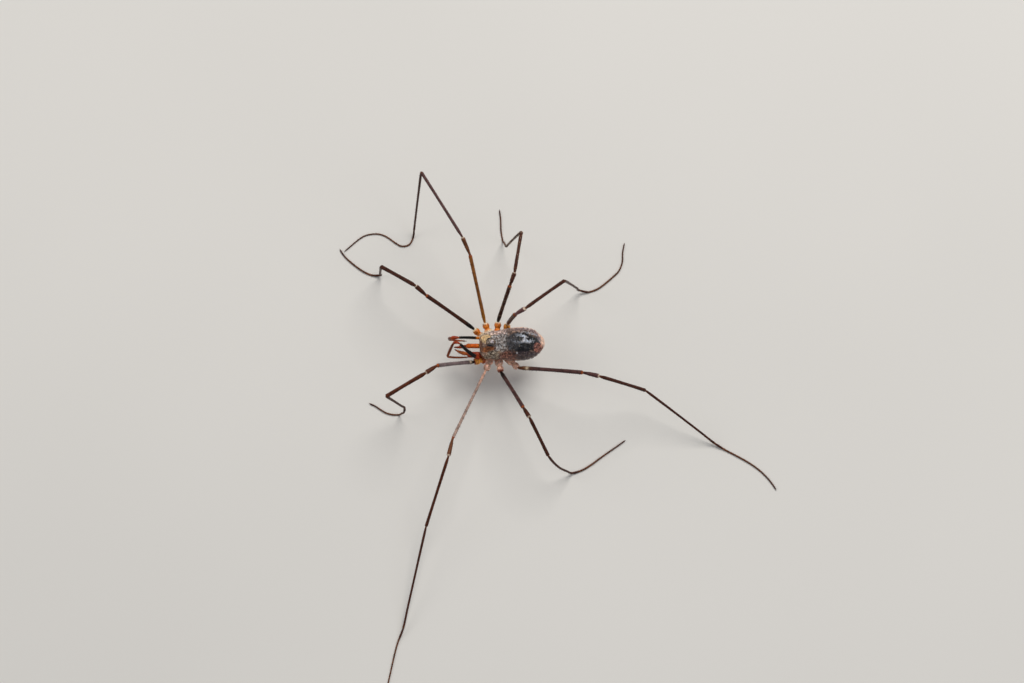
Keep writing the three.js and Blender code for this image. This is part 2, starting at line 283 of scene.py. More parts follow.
backHide = {
    # scales of its noises
    "blotches": 3.6,
    "patches": 5.0,
    "fine": 8.5,
    "grains": 8.0,
    "specks": 24,
    "fineShare": 0.6,  # fine noise in the mottling, the rest is patches
    # what the mottling and the blotches multiply the tone by
    "mottle": [
        (0.40, (0.13, 0.10, 0.10)),
        (0.47, (0.58, 0.50, 0.48)),
        (0.53, (1.28, 1.22, 1.22)),
        (0.60, (2.6, 2.65, 2.7)),
    ],
    "hue": [
        (0.38, (0.78, 0.79, 0.84)),
        (0.50, (1.0, 1.0, 1.0)),
        (0.62, (1.18, 1.04, 0.96)),
    ],
    "crest": (0.66, 0.58, 0.52),  # colour of the grains' tips
    "crestShare": 0.42,
    "roughness": (0.30, 0.48),
    "shine": 0.32,
    "grainHeight": 0.7,
    "speckHeight": 0.5,
    "bump": 0.03,
}


# The back. Its large markings are in the tone attribute, whose alpha says how strongly they are mottled.
def backMaterial():
    material, tree, shader = newMaterial("backHide")
    coords = millimetreCoords(tree)
    tone = addNode(tree, "ShaderNodeVertexColor", layer_name="tone")
    blotches = addNoise(tree, coords, backHide["blotches"], 4, 0.6)
    fine = addNoise(tree, coords, backHide["fine"], 4, 0.62)
    specks = addNoise(tree, coords, backHide["specks"], 3, 0.6)
    cells = addNode(tree, "ShaderNodeTexVoronoi", Scale=backHide["grains"], feature="F1")
    tree.links.new(coords, cells.inputs["Vector"])
    grains = mapRange(tree, cells.outputs["Distance"], 0.0, 0.45, 1.0, 0.0)

    patches = addNoise(tree, coords, backHide["patches"], 5, 0.7)
    finePart = addMath(tree, "MULTIPLY", fine, backHide["fineShare"])
    patchPart = addMath(tree, "MULTIPLY", patches, 1 - backHide["fineShare"])
    mottle = addRamp(tree, addMath(tree, "ADD", finePart, patchPart), backHide["mottle"])
    hue = addRamp(tree, blotches, backHide["hue"])
    strength = mixColours(tree, tone.outputs["Alpha"], (1.0, 1.0, 1.0), mottle)
    colour = mixColours(tree, 1.0, tone.outputs["Color"], strength, "MULTIPLY")
    colour = mixColours(tree, 1.0, colour, hue, "MULTIPLY")
    crests = mapRange(tree, grains, 0.70, 0.95, 0.0, backHide["crestShare"])
    crests = addMath(tree, "MULTIPLY", crests, tone.outputs["Alpha"])
    crests = addMath(tree, "MULTIPLY", crests, mapRange(tree, blotches, 0.42, 0.58))
    colour = mixColours(tree, crests, colour, backHide["crest"])
    tree.links.new(colour, shader.inputs["Base Color"])

    rough = mapRange(tree, specks, 0.3, 0.7, *backHide["roughness"])
    tree.links.new(rough, shader.inputs["Roughness"])
    shader.inputs["Specular IOR Level"].default_value = backHide["shine"]
    grainHeight = addMath(tree, "MULTIPLY", grains, backHide["grainHeight"])
    speckHeight = addMath(tree, "MULTIPLY", specks, backHide["speckHeight"])
    addBump(tree, shader, addMath(tree, "ADD", grainHeight, speckHeight), backHide["bump"])
    return material


eyeGloss = {
    "darkest": (0.003, 0.003, 0.005),
    "lightest": (0.018, 0.014, 0.02),
    "roughness": 0.2,
    "shine": 0.3,
    "coat": 0.35,
    "coatRoughness": 0.03,
}


def eyeMaterial():
    material, tree, shader = newMaterial("eyeGloss")
    depth = addNoise(tree, millimetreCoords(tree), 5, 2)
    colour = addRamp(tree, depth, [(0.35, eyeGloss["darkest"]), (0.7, eyeGloss["lightest"])])
    tree.links.new(colour, shader.inputs["Base Color"])
    shader.inputs["Roughness"].default_value = eyeGloss["roughness"]
    shader.inputs["Specular IOR Level"].default_value = eyeGloss["shine"]
    shader.inputs["Coat Weight"].default_value = eyeGloss["coat"]
    shader.inputs["Coat Roughness"].default_value = eyeGloss["coatRoughness"]
    return material


# Mesh helpers

def toMesh(bm, name):
    mesh = bpy.data.meshes.new(name)
    bm.to_mesh(mesh)
    bm.free()
    return mesh


def setTones(mesh, colours):
    layer = mesh.color_attributes.new("tone", "FLOAT_COLOR", "POINT")
    layer.data.foreach_set("color", np.array(colours, float).ravel())


# One piece of the model. Its meshes have the first material and its spikes the second.
def finishPiece(name, meshes, spikes, materials, replaced):
    bm = bmesh.new()
    parts = [(mesh, 0) for mesh in meshes]
    if spikes:
        parts.append((makeSpikes(spikes), 1))
    for mesh, index in parts:
        for face in mesh.polygons:
            face.material_index = index
        bm.from_mesh(mesh)
        bpy.data.meshes.remove(mesh)
    bmesh.ops.translate(bm, vec=bodyPlace, verts=bm.verts)
    bmesh.ops.scale(bm, vec=(millimetre,) * 3, verts=bm.verts)
    for face in bm.faces:
        face.smooth = True
    data = toMesh(bm, name)
    piece = bpy.data.objects.new(name, data)
    bpy.context.collection.objects.link(piece)
    for material in materials:
        data.materials.append(material)
    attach(piece, "root")
    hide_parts(*replaced)


# A smooth route through points, read by the share of its length.
class Route:
    def __init__(self, points, steps=24):
        points = [Vector(p) for p in points]
        spans = [b - a for a, b in zip(points, points[1:])]
        leads = [s.normalized() for s in spans]
        inner = [
            (a * t.length + b * s.length).normalized()
            for a, b, s, t in zip(leads, leads[1:], spans, spans[1:])
        ]
        first = (2 * leads[0] - inner[0]).normalized() if inner else leads[0]
        last = (2 * leads[-1] - inner[-1]).normalized() if inner else leads[-1]
        turns = [first, *inner, last]
        dense = [points[0]]
        for i, span in enumerate(spans):
            here, there = points[i], points[i + 1]
            leave, arrive = turns[i] * span.length, turns[i + 1] * span.length
            for k in range(1, steps + 1):
                s = k / steps
                dense.append(
                    here * (2 * s**3 - 3 * s**2 + 1)
                    + leave * (s**3 - 2 * s**2 + s)
                    + there * (3 * s**2 - 2 * s**3)
                    + arrive * (s**3 - s**2)
                )
        self.steps = steps
        self.dense = dense
        self.marks = [0.0]
        for a, b in zip(dense, dense[1:]):
            self.marks.append(self.marks[-1] + (b - a).length)
        self.length = self.marks[-1]

    # The share of the length at which the route passes its given point of that number.
    def shareOf(self, number):
        return self.marks[number * self.steps] / self.length

    def between(self, low, high):
        count = 40
        return Route([self.point(low + (high - low) * k / count) for k in range(count + 1)], 3)

    def point(self, share):
        wanted = min(max(share, 0.0), 1.0) * self.length
        high = int(np.searchsorted(self.marks, wanted))
        high = min(max(high, 1), len(self.dense) - 1)
        low = high - 1
        part = (wanted - self.marks[low]) / max(self.marks[high] - self.marks[low], 1e-9)
        return self.dense[low].lerp(self.dense[high], part)

    def frame(self, share):
        reach = min(0.02, 0.15 / self.length)
        along = self.point(share + reach) - self.point(share - reach)
        along.normalize()
        side = up.cross(along)
        if side.length < 1e-4:
            side = Vector((0, 1, 0))
        side.normalize()
        return self.point(share), along, side, along.cross(side)


# Rings along each kind of limb, and sides round it.
limbGrids = {
    "leg": (44, 16),
    "patella": (22, 16),
    "hip": (40, 24),
    "palp": (30, 16),
    "jawBase": (30, 20),
    "jawHand": (34, 20),
    "finger": (20, 12),
    "claw": (10, 8),
}


# A closed limb along a route. radiusAt and toneAt read the share of the length, and toneAt also how far a
# point looks up, from -1 to 1. flute is how many lengthwise ridges the limb has, and how high they are.
def makeLimb(route, rings, sides, radiusAt, toneAt, flute=(5, 0.0), evenRings=False, lowest=None):
    bm = bmesh.new()
    bmesh.ops.create_cone(bm, cap_ends=True, segments=sides, radius1=1, radius2=1, depth=1)
    walls = [e for e in bm.edges if abs(e.verts[0].co.z - e.verts[1].co.z) > 0.5]
    bmesh.ops.subdivide_edges(bm, edges=walls, cuts=rings - 1, use_grid_fill=True)
    tone = bm.verts.layers.float_color.new("tone")
    stations = {}
    for v in bm.verts:
        key = round((v.co.z + 0.5) * rings)
        if key not in stations:
            even = key / rings
            share = even if evenRings else 0.5 * even + 0.5 * (0.5 - 0.5 * math.cos(math.pi * even))
            stations[key] = (share, *route.frame(share), radiusAt(share))
        share, centre, along, side, over, radius = stations[key]
        turn = math.atan2(v.co.y, v.co.x)
        ridged = radius * (1 + flute[1] * math.cos(flute[0] * turn))
        v.co = centre + over * (ridged * math.cos(turn)) + side * (ridged * math.sin(turn))
        if lowest is not None:
            v.co.z = max(v.co.z, lowest)
        v[tone] = (*toneAt(share, math.cos(turn)), 1)
    bmesh.ops.recalc_face_normals(bm, faces=bm.faces)
    return toMesh(bm, "limb")


# A limb's radius as a smooth line through pairs: share of its length, and share of its full radius.
def profile(pairs, radius=1):
    places = [p for p, _ in pairs]
    values = [v * radius for _, v in pairs]

    def radiusAt(share):
        k = int(np.searchsorted(places, share))
        k = min(max(k, 1), len(places) - 1)
        s = (share - places[k - 1]) / (places[k] - places[k - 1])
        s = min(max(s, 0.0), 1.0)
        s = s * s * (3 - 2 * s)
        return values[k - 1] + (values[k] - values[k - 1]) * s

    return radiusAt


def mixTone(first, second, share):
    share = min(max(share, 0.0), 1.0)
    return tuple(a + (b - a) * share for a, b in zip(first, second))


# Colour bands along a limb: pairs of share and tone, blended between them.
def bands(*pairs):
    def toneAt(share, upness):
        for (low, first), (high, second) in zip(pairs, pairs[1:]):
            if share <= high:
                return mixTone(tones[first], tones[second], (share - low) / max(high - low, 1e-6))
        return tones[pairs[-1][1]]

    return toneAt


spike = {
    "sides": 4,
    "tip": 0.08,  # width of its tip beside its root
    "sink": 0.86,  # share of a limb's radius at which it is rooted
    "wobble": 0.12,  # how far it may stand off its row, in radians
    "lean": (0.7, 1.3),  # how much leans and lengths vary
    "length": (0.7, 1.25),
    "bend": 0.25,
    "clear": 0.01,  # how far above the ground it ends
    "paleLength": 1.2,  # pale spikes beside dark ones
    "paleRadius": 2,
}


# Claws: their path from a limb's tip, along it and upwards, and radii along that. Those of the legs stand
# upright and stay above the ground.
claws = {
    "leg": {
        "path": [(-0.05, 0), (0.06, 0.03), (0.14, -0.02)],
        "radii": [(0, 0.03), (0.4, 0.026), (1, 0.004)],
        "upright": True,
        "lowest": 0.0,
    },
    "palp": {
        "path": [(-0.03, 0), (0.06, 0.02), (0.12, -0.04)],
        "radii": [(0, 0.024), (0.4, 0.02), (1, 0.004)],
        "upright": False,
        "lowest": None,
    },
}


def makeClaw(kind, route):
    claw = claws[kind]
    tip, along, _, over = route.frame(1.0)
    rise = up if claw["upright"] else over
    path = Route([tip + along * far + rise * high for far, high in claw["path"]])
    toneAt = bands((0, "brown"), (1, "black"))
    return makeLimb(path, *limbGrids["claw"], profile(claw["radii"]), toneAt, lowest=claw["lowest"])


# One slender closed cone, as arrays, for spines and hairs.
def makeSpikeShape():
    bm = bmesh.new()
    sides, tip = spike["sides"], spike["tip"]
    bmesh.ops.create_cone(bm, cap_ends=True, cap_tris=True, segments=sides, radius1=1, radius2=tip, depth=1)
    bmesh.ops.translate(bm, vec=(0, 0, 0.5), verts=bm.verts)
    walls = [e for e in bm.edges if abs(e.verts[0].co.z - e.verts[1].co.z) > 0.5]
    bmesh.ops.subdivide_edges(bm, edges=walls, cuts=1, use_grid_fill=True)
    bmesh.ops.triangulate(bm, faces=bm.faces)
    bm.verts.index_update()
    corners = np.array([v.co[:] for v in bm.verts])
    faces = np.array([[v.index for v in f.verts] for f in bm.faces])
    bm.free()
    return corners, faces


spikeShape = makeSpikeShape()


# Spines and hairs as one mesh. Each is root, direction, length, radius, bend to another way, and tone.
def makeSpikes(spikes):
    corners, faces = spikeShape
    places = []
    colours = []
    for root, direction, length, radius, bend, tone in spikes:
        axis = direction.normalized()
        side = axis.cross(up if abs(axis.z) < 0.9 else Vector((1, 0, 0))).normalized()
        across = axis.cross(side)
        turn = np.array([side * radius, across * radius, axis * length])
        curve = (corners[:, 2] ** 2)[:, None] * np.array(bend * length)
        places.append(corners @ turn + np.array(root) + curve)
        colours.extend([(*tone, 1)] * len(corners))
    firsts = np.arange(len(spikes)) * len(corners)
    allFaces = (faces[None] + firsts[:, None, None]).reshape(-1, 3)
    mesh = bpy.data.meshes.new("spikes")
    mesh.from_pydata(np.concatenate(places).tolist(), [], allFaces.tolist())
    setTones(mesh, colours)
    return mesh


# Rows of spikes on a limb: how many rows round it, their spacing, length and radius, how far they lean to
# its tip, and between which shares of its length they grow. pale is the share of them that is pale.
def limbSpikes(route, radiusAt, rows, draw, pale=0.0):
    spikes = []
    start, reach = rows["from"], rows["until"] - rows["from"]
    count = max(2, int(route.length * reach / rows["spacing"]))
    for row in range(rows["rows"]):
        turn = math.radians(360 * row / rows["rows"])
        for k in range(count):
            share = start + reach * (k + draw.random()) / count
            centre, along, side, over = route.frame(share)
            wobble = turn + draw.uniform(-1, 1) * spike["wobble"]
            outward = over * math.cos(wobble) + side * math.sin(wobble)
            lean = rows["lean"] * draw.uniform(*spike["lean"])
            length = rows["length"] * draw.uniform(*spike["length"])
            root = centre + outward * radiusAt(share) * spike["sink"]
            direction = outward * (1 - lean) + along * lean
            if root.z + direction.normalized().z * length < spike["clear"]:
                continue
            radius, tone = rows["radius"], tones[rows["tone"]]
            if draw.random() < pale:
                length *= spike["paleLength"]
                radius *= spike["paleRadius"]
                tone = tones["cream"]
            spikes.append((root, direction, length, radius, along * spike["bend"], tone))
    return spikes


# Body

body = {
    "length": 5.5,
    "turn": 3.0,
    "aside": -0.10,
    "axisHeight": 3.9,
    "halfWidths": [1.40, 1.36, 1.33, 1.34, 1.42, 1.45, 1.45, 1.34, 0.85],
    "tops": [0.55, 0.75, 0.9, 1.0, 1.25, 1.4, 1.32, 1.05, 0.7],
    "undersides": [0.4, 0.4, 0.38, 0.38, 0.6, 1.1, 1.2, 1.02, 0.62],
    "roundFront": 0.36,
    "roundRear": 0.5,
    "roundSides": 0.8,
    "inset": 0.03,
    # furrows across the back: place along, depth, width, and whether they run on round the belly
    "furrows": [
        (-0.98, 0.035, 0.05, False),
        (-0.50, 0.085, 0.07, False),
        (-0.02, 0.025, 0.04, False),
        (0.45, 0.02, 0.04, False),
        (0.92, 0.04, 0.04, True),
        (1.36, 0.055, 0.045, True),
        (1.72, 0.065, 0.045, True),
        (2.04, 0.065, 0.04, True),
        (2.30, 0.06, 0.04, True),
    ],
    "furrowBend": 0.22,
    # pits where muscles are fixed, in two rows
    "pitPlaces": (0.2, 0.68, 1.14, 1.54),
    "pitAcross": 0.42,
    "pitDepth": 0.035,
    "pitWidth": 0.07,
    # swellings of the front flanks, one above each leg
    "lobeHeight": 0.05,
    "lobePitch": 0.75,
    "lobeStart": -2.3,
    "swell": 0.035,  # broad unevenness
    "grain": 0.014,
    "meridians": 280,
    "parallels": 230,
}


# The same smooth line through even values as the solids have.
def smoothLine(values, places):
    values = np.array(values)
    last = len(values) - 1
    spots = places * last
    low = np.minimum(np.floor(spots).astype(int), last)
    s = spots - low
    p0 = values[np.maximum(low - 1, 0)]
    p1 = values[low]
    p2 = values[np.minimum(low + 1, last)]
    p3 = values[np.minimum(low + 2, last)]
    v0 = (p2 - p0) * 0.5
    v1 = (p3 - p1) * 0.5
    return (2 * p1 - 2 * p2 + v0 + v1) * s**3 + (3 * p2 - 3 * p1 - 2 * v0 - v1) * s**2 + v0 * s + p1


def bell(value, width):
    return np.exp(-((value / width) ** 2))


def slope(value, low, high):
    s = np.clip((value - low) / (high - low), 0, 1)
    return s * s * (3 - 2 * s)


# The power that rounds the ends: blunt in front, rounder at the rear.
def endPower(share):
    return body["roundFront"] + (body["roundRear"] - body["roundFront"]) * slope(share, 0.25, 0.75)


def noiseField(points, scale, seed):
    shift = Vector((seed * 7.3, seed * 3.1, seed * 5.7))
    return np.array([noise.noise(Vector(p) * scale + shift) for p in points])


def bodyForm(unit):
    along = unit[:, 2]
    around = np.arctan2(unit[:, 1], -unit[:, 0])
    share = (1 + along) / 2
    x = (share - 0.5) * body["length"]
    rounding = np.maximum(0, 1 - along**2) ** (0.5 * endPower(share))
    sine, cosine = np.sin(around), np.cos(around)
    curve = body["roundSides"]
    upward = np.where(sine > 0, smoothLine(body["tops"], share), smoothLine(body["undersides"], share))
    half = smoothLine(body["halfWidths"], share)
    y = rounding * (half - body["inset"]) * np.sign(cosine) * np.abs(cosine) ** curve
    z = rounding * (upward - body["inset"]) * np.sign(sine) * np.abs(sine) ** curve
    return x, y, z, sine, cosine


def bodyRelief(x, y, sine, cosine, points):
    bentX = x + body["furrowBend"] * (y / 1.3) ** 2
    relief = np.zeros(len(x))
    for place, depth, width, allRound in body["furrows"]:
        reach = 1.0 if allRound else np.clip(sine * 2.2, 0, 1)
        relief -= depth * bell(bentX - place, width) * reach
    flank = np.clip(1 - np.abs(sine + 0.15) * 1.6, 0, 1)
    wave = np.cos((x - body["lobeStart"]) * 2 * math.pi / body["lobePitch"])
    relief += body["lobeHeight"] * flank * wave * np.clip(-0.3 - x, 0, 1)
    for place in body["pitPlaces"]:
        for across in (-body["pitAcross"], body["pitAcross"]):
            far = np.hypot(x - place, y - across * (1 - 0.15 * place))
            relief -= body["pitDepth"] * bell(far, body["pitWidth"]) * (sine > 0)
    relief += body["swell"] * noiseField(points, 2.2, 1) + body["grain"] * noiseField(points, 11.0, 2)
    relief += 0.5 * body["grain"] * noiseField(points, 23.0, 3)
    return relief


# Markings of the back: place along and across, half length, half width, softness, colour, and how strongly
# the colour is mottled. Later ones lie over earlier ones.
markings = [
    (-1.15, 0.15, 0.95, 1.15, 0.5, (0.27, 0.26, 0.25), 1.0),  # frosted grey
    (-1.95, 0.98, 0.85, 0.35, 0.5, (0.46, 0.38, 0.30), 1.0),
    (-1.0, 1.05, 0.9, 0.30, 0.5, (0.46, 0.36, 0.32), 0.9),  # pinkish edge beside the frosted part
    (-2.20, 0.45, 0.42, 0.40, 0.4, (0.66, 0.48, 0.25), 0.6),  # cream patch at the front corner
    (-2.02, -0.45, 0.60, 0.25, 0.35, (0.30, 0.10, 0.028), 0.6),
    (-2.60, -0.1, 0.12, 0.5, 0.5, (0.12, 0.055, 0.03), 0.6),
    (-1.60, -0.98, 0.70, 0.38, 0.5, (0.27, 0.225, 0.165), 1.0),
    (-0.35, -1.13, 0.75, 0.40, 0.5, (0.22, 0.10, 0.07), 1.0),
    (0.95, -0.16, 1.45, 0.94, 0.4, (0.004, 0.004, 0.006), 0.3),  # saddle
    (0.0, -0.1, 0.5, 0.75, 0.9, (0.050, 0.050, 0.055), 0.9),
    (2.22, -0.60, 0.45, 0.42, 0.4, (0.26, 0.105, 0.075), 1.0),  # rusty rear
]
# Colour of the areas that follow the body's shape, and how strongly each is mottled.
areas = {
    "hide": ((0.24, 0.165, 0.125), 0.9),
    "lilac": ((0.27, 0.20, 0.20), 0.8),
    # painted reflection: streaky pale blue-grey patches where the glossy back mirrors the sky
    "paintedReflection": ((0.48, 0.53, 0.60), 0.6),
    "flank": ((0.070, 0.050, 0.060), 0.5),
    "margin": ((0.86, 0.60, 0.46), 0.22),
    "belly": ((0.46, 0.37, 0.29), 0.35),
    # a tiny painted glint on the back
    "paintedGlint": ((0.95, 0.93, 0.92), 0.0),
}
areaShapes = {
    "wander": 0.22,  # how far noise moves the borders
    "rimMiddle": 0.5,  # the rear body's outline from above: its middle, half length and half width
    "rimHalfLength": 2.25,
    "rimHalfWidth": 1.42,
    # where the painted reflection on the back lies, its half sizes and its strength
    "reflectionPlace": (1.3, 0.22),
    "reflectionSize": (0.80, 0.46),
    "reflectionStrength": 1.4,
    "stripePitch": 0.085,  # lines along the left flank
    "paintedGlintPlace": (0.37, -1.0),
    "paintedGlintSize": 0.055,
}


def bodyTones(x, y, sine, points):
    coarse = noiseField(points, 1.9, 5)
    small = noiseField(points, 5.5, 6)
    wander = areaShapes["wander"] * coarse + areaShapes["wander"] * small
    hide, contrast = areas["hide"]
    tone = np.empty((len(x), 4))
    tone[:] = (*hide, contrast)

    def paint(mask, colour, contrast):
        mask = np.clip(mask, 0, 1)[:, None]
        tone[:] = tone * (1 - mask) + np.array((*colour, contrast)) * mask

    onTop = slope(sine, -0.1, 0.15)
    outline = np.abs((x - areaShapes["rimMiddle"]) / areaShapes["rimHalfLength"]) ** 3
    rim = (outline + np.abs(y / areaShapes["rimHalfWidth"]) ** 3) ** (1 / 3) + 0.06 * small
    rear = slope(x + wander, -0.4, 0.5)
    rightSide = slope(y + 0.25 * x, 0.0, 0.6)
    paint(slope(rim, 0.62, 0.74) * rear * onTop * rightSide, *areas["lilac"])
    for place, across, half, wide, soft, colour, contrast in markings:
        far = np.hypot((x - place) / half, (y - across) / wide) + wander
        paint(slope(far, 1 + soft / 2, 1 - soft / 2) * onTop, colour, contrast)
    # Painted reflection of the sky: streaky pale blue-grey patches on the back.
    streaks = noiseField(points * np.array([1.3, 4.2, 2.0]), 1.0, 9) + 0.5 * noiseField(points, 8.0, 10)
    (reflectX, reflectY), (reflectLong, reflectWide) = areaShapes["reflectionPlace"], areaShapes["reflectionSize"]
    reflectionMask = bell(np.hypot((x - reflectX) / reflectLong, (y - reflectY) / reflectWide), 1.0) * onTop
    paint(areaShapes["reflectionStrength"] * reflectionMask * slope(streaks, -0.12, 0.22), *areas["paintedReflection"])
    lowFlank = slope(-y, 0.84, 0.98) * slope(x + wander, 0.1, 0.7)
    stripes = 0.8 + 0.4 * np.sin(rim * 2 * math.pi / areaShapes["stripePitch"] + 2 * coarse)
    paint(lowFlank * stripes, *areas["flank"])
    rearRight = slope(y + 0.5 * (x - 1.5), -0.1, 0.5)
    paint(slope(rim, 0.81, 0.90) * rear * rearRight, *areas["margin"])
    paint(slope(sine, -0.25, -0.6), *areas["belly"])
    # Painted glint: a small near-white dot on the back.
    glintX, glintY = areaShapes["paintedGlintPlace"]
    paint(bell(np.hypot(x - glintX, y - glintY), areaShapes["paintedGlintSize"]) * onTop, *areas["paintedGlint"])
    return tone


# The skin's point above a place of the back, for what grows on it.
def backPoint(x, y):
    share = x / body["length"] + 0.5
    along = 2 * share - 1
    rounding = max(0.0, 1 - along**2) ** (0.5 * endPower(share))
    half = rounding * (smoothLine(body["halfWidths"], np.array([share]))[0] - body["inset"])
    top = rounding * (smoothLine(body["tops"], np.array([share]))[0] - body["inset"])
    across = min(abs(y) / half, 0.995) ** (1 / body["roundSides"])
    sine = math.sqrt(1 - across**2)
    return Vector((x, y, body["axisHeight"] + top * sine ** body["roundSides"]))


def turned(direction):
    return Matrix.Rotation(math.radians(body["turn"]), 3, "Z") @ Vector(direction)


def placed(point):
    return turned(point) + Vector((0, body["aside"], 0))


# The eye mound
mound = {
    "place": (-1.78, 0.03, 4.95),
    "size": (0.42, 0.34, 0.38),
    "furrow": 0.05,  # depth of the groove between its crests
    "paintedHighlightSize": 0.25,
    "mottle": 0.9,
    "top": (0.26, 0.225, 0.19),
    "side": (0.13, 0.10, 0.075),
    # colour of the painted highlight on the mound's top
    "shine": (0.92, 0.88, 0.98),
    "paintedHighlight": (0.30, -0.05, 0.95),  # where its painted highlight lies, as a direction
}


def makeMound():
    bm = bmesh.new()
    bmesh.ops.create_uvsphere(bm, u_segments=48, v_segments=32, radius=1)
    tone = bm.verts.layers.float_color.new("tone")
    paintedHighlight = Vector(mound["paintedHighlight"])
    for v in bm.verts:
        unit = v.co.copy()
        dip = mound["furrow"] * math.exp(-((unit.y / 0.22) ** 2)) * max(0.0, unit.z)
        size = 1 - dip + 0.02 * noise.noise(unit * 6)
        v.co = placed([u * s * size + c for u, s, c in zip(unit, mound["size"], mound["place"])])
        colour = mixTone(mound["side"], mound["top"], unit.z * 1.6 - 0.35)
        # painted highlight: a pale dab mixed in round the highlight's direction
        near = math.exp(-(((unit - paintedHighlight).length / mound["paintedHighlightSize"]) ** 2))
        colour = mixTone(colour, mound["shine"], near)
        v[tone] = (*colour, mound["mottle"])
    return toMesh(bm, "mound")


def makeBody(materials):
    bm = bmesh.new()
    bmesh.ops.create_uvsphere(bm, u_segments=body["meridians"], v_segments=body["parallels"], radius=1)
    mesh = toMesh(bm, "back")
    unit = np.empty(len(mesh.vertices) * 3)
    mesh.vertices.foreach_get("co", unit)
    unit = unit.reshape(-1, 3)
    x, y, z, sine, cosine = bodyForm(unit)
    points = np.stack([x, y, z], axis=1)
    relief = bodyRelief(x, y, sine, cosine, points)
    rounding = np.maximum(0, 1 - unit[:, 2] ** 2) ** 0.5
    turn = math.radians(body["turn"])
    normal = np.stack([unit[:, 2] * 0.6, cosine * rounding, sine * rounding], axis=1)
    tone = bodyTones(x, y, sine, points)
    points += normal * relief[:, None]
    points[:, 2] += body["axisHeight"]
    c, s = math.cos(turn), math.sin(turn)
    points = points @ np.array([[c, s, 0], [-s, c, 0], [0, 0, 1]]) + np.array([0, body["aside"], 0])
    mesh.vertices.foreach_set("co", points.ravel())
    setTones(mesh, np.clip(tone, 0, 1))
    bm = bmesh.new()
    bm.from_mesh(mesh)
    bmesh.ops.recalc_face_normals(bm, faces=bm.faces)
    bm.to_mesh(mesh)
    bm.free()
    nodes = ["prosoma", "opisthosoma"]
    finishPiece("body", [mesh, makeMound()], backSpines(), materials, nodes)
    print("body made")


spinePattern = {
    "rows": [-2.35, -1.25, -0.75, -0.26, 0.2, 0.68, 1.14, 1.54, 1.88, 2.17],  # places along the back
    "reach": 1.12,  # how far a row runs to each side, and the shorter rows near the ends
    "endReach": 0.75,
    "spacing": 0.17,
    "length": 0.075,
    "radius": 0.022,
    "sink": 0.025,
    "pale": 0.55,  # share of them that is pale
    "moundSpines": 7,  # on each crest
    "moundLength": 0.13,
    "moundRadius": 0.026,
}


# Rows of small pointed grains across the back, and the two crests of the eye mound.
def backSpines():
    draw = random.Random(11)
    spikes = []
    for x in spinePattern["rows"]:
        reach = spinePattern["reach"] if abs(x) < 1.6 else spinePattern["endReach"]
        count = int(2 * reach / spinePattern["spacing"])
        for k in range(count):
            y = -reach + 2 * reach * (k + 0.5 + draw.uniform(-0.3, 0.3)) / count
            place = backPoint(x - body["furrowBend"] * (y / 1.3) ** 2 + draw.uniform(-0.03, 0.03), y)
            length = spinePattern["length"] * draw.uniform(0.6, 1.2)
            direction = Vector((0.5, 0.25 * y, 1))
            tone = tones["cream"] if draw.random() < spinePattern["pale"] else tones["dark"]
            root = placed(place - direction.normalized() * spinePattern["sink"])
            bend = Vector((0.1, 0, 0))
            spikes.append((root, turned(direction), length, spinePattern["radius"], bend, tone))
    for side in (-1, 1):
        for k in range(spinePattern["moundSpines"]):
            angle = math.radians(35 + 110 * k / (spinePattern["moundSpines"] - 1))
            local = Vector((-math.cos(angle), side * 0.42, math.sin(angle) * 0.9))
            root = Vector([u * s * 0.95 + c for u, s, c in zip(local, mound["size"], mound["place"])])
            direction = turned((local.x, side * 0.25, local.z + 0.2))
            length, radius = spinePattern["moundLength"], spinePattern["moundRadius"]
            spikes.append((placed(root), direction, length, radius, Vector((0.05, 0, 0)), tones["dark"]))
    return spikes


# Eyes

eye = {
    "spread": 0.235,  # from the middle of the mound
    "offset": (-0.08, 0.09),  # forward and up
    "size": (0.25, 0.15, 0.17),
    "facing": (-0.25, 1, 0.15),
    "bulge": 0.15,
}


def makeEyes(materials):
    for side, across in (("right", 1), ("left", -1)):
        bm = bmesh.new()
        bmesh.ops.create_uvsphere(bm, u_segments=48, v_segments=32, radius=1)
        forward, lift = eye["offset"]
        centre = Vector(mound["place"]) + Vector((forward, across * eye["spread"], lift))
        facing = Vector((eye["facing"][0], across * eye["facing"][1], eye["facing"][2])).normalized()
        for v in bm.verts:
            swell = 1 + eye["bulge"] * max(0.0, v.co.dot(facing) - 0.55)
            v.co = placed(centre + Vector([c * s * swell for c, s in zip(v.co, eye["size"])]))
        finishPiece(f"eye{side.title()}", [toMesh(bm, "eye")], [], materials, [f"eye_{side}"])
    print("eyes made")


# Legs

legLengths = {
    1: [5.5, 1.2, 4.0, 4.7],
    2: [7.3, 1.65, 6.8, 8.8],
    3: [4.6, 1.15, 3.7, 4.7],
    4: [6.5, 1.45, 5.2, 7.9],
}
tarsusLengths = {1: 4.3, 2: 7.7, 3: 5.3, 4: 6.5}
footAxis = 0.2

